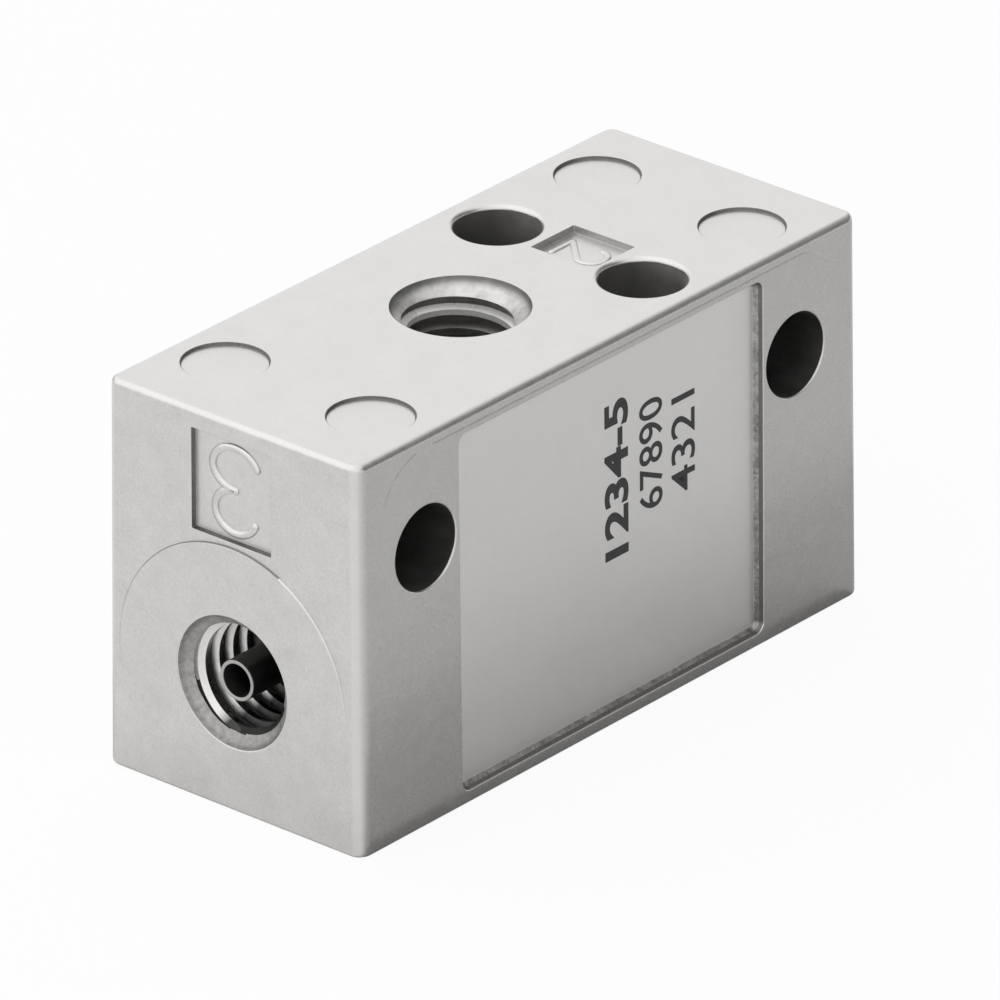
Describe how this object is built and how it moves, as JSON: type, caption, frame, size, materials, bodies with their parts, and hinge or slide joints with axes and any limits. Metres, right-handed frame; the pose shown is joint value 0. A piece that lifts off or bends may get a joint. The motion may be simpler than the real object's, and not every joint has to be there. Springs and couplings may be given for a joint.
{
  "type": "vacuum ejector",
  "caption": "Small block-shaped inline vacuum ejector: die-cast housing with threaded supply, vacuum and exhaust ports around coaxial Venturi nozzles.",
  "frame": {"origin": "centre of the housing's foot, the face opposite the vacuum port", "axes": "+X out of the supply port, -X out of the exhaust port, +Z out of the vacuum port"},
  "size_m": [0.03, 0.013, 0.0165],
  "materials": {
    "cast_alloy": "bright die-cast skin, fine matt grain",
    "nozzle_brass": "turned, bright",
    "nozzle_steel": "turned, satin"
  },
  "bodies": {
    "root": {"housing": "cast_alloy", "jet_nozzle": "nozzle_brass", "receiver_nozzle": "nozzle_steel"}
  },
  "joints": []
}
